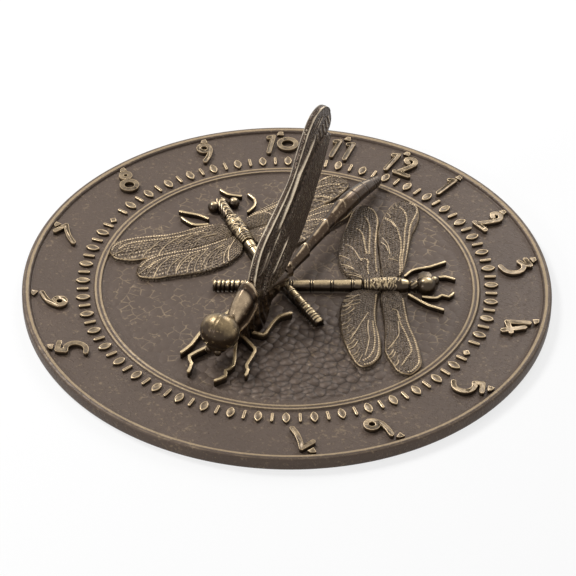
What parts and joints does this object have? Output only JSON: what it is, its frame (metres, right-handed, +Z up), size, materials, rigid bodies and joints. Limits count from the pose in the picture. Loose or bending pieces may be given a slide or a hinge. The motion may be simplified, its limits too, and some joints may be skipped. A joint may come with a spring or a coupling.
{
  "type": "horizontal_sundial",
  "caption": "Round horizontal garden sundial in dark bronze finish, with raised hour numerals, relief dragonflies on the plate and a dragonfly gnomon with folded wings",
  "frame": {"origin": "centre of the plate's underside, on the plane that the skirt stands on", "axes": "+Z up, out of the dial's face; +Y towards noon, the way the style rises; +X towards the afternoon hours"},
  "size_m": [0.3048, 0.3048, 0.1108],
  "materials": {
    "bronze_field": "cast, bronze stain under clear lacquer",
    "bronze_raised": "cast, bronze stain rubbed back to tan on top",
    "bronze_insect": "cast, bronze stain rubbed back to tan on top",
    "bronze_wing": "cast with fine cell texture, rubbed back on the veins",
    "bronze_gnomon": "cast, dark bronze stain rubbed back on the edges",
    "fastener_steel": "zinc plated"
  },
  "bodies": {
    "root": {"dial_plate": "bronze_field", "hour_numerals": "bronze_raised", "hour_pointers": "bronze_raised", "ornament_band": "bronze_raised", "band_studs": "bronze_raised", "east_head": "bronze_insect", "east_thorax": "bronze_insect", "east_abdomen": "bronze_insect", "east_fore_wings": "bronze_wing", "east_hind_wings": "bronze_wing", "east_legs": "bronze_insect", "west_head": "bronze_insect", "west_thorax": "bronze_insect", "west_abdomen": "bronze_insect", "west_fore_wings": "bronze_wing", "west_hind_wings": "bronze_wing", "west_legs": "bronze_insect", "gnomon_head": "bronze_gnomon", "gnomon_thorax": "bronze_gnomon", "gnomon_tail": "bronze_gnomon", "gnomon_fore_wings": "bronze_gnomon", "gnomon_hind_wings": "bronze_gnomon", "gnomon_legs": "bronze_gnomon", "gnomon_screws": "fastener_steel", "gnomon_washers": "fastener_steel"}
  },
  "joints": []
}
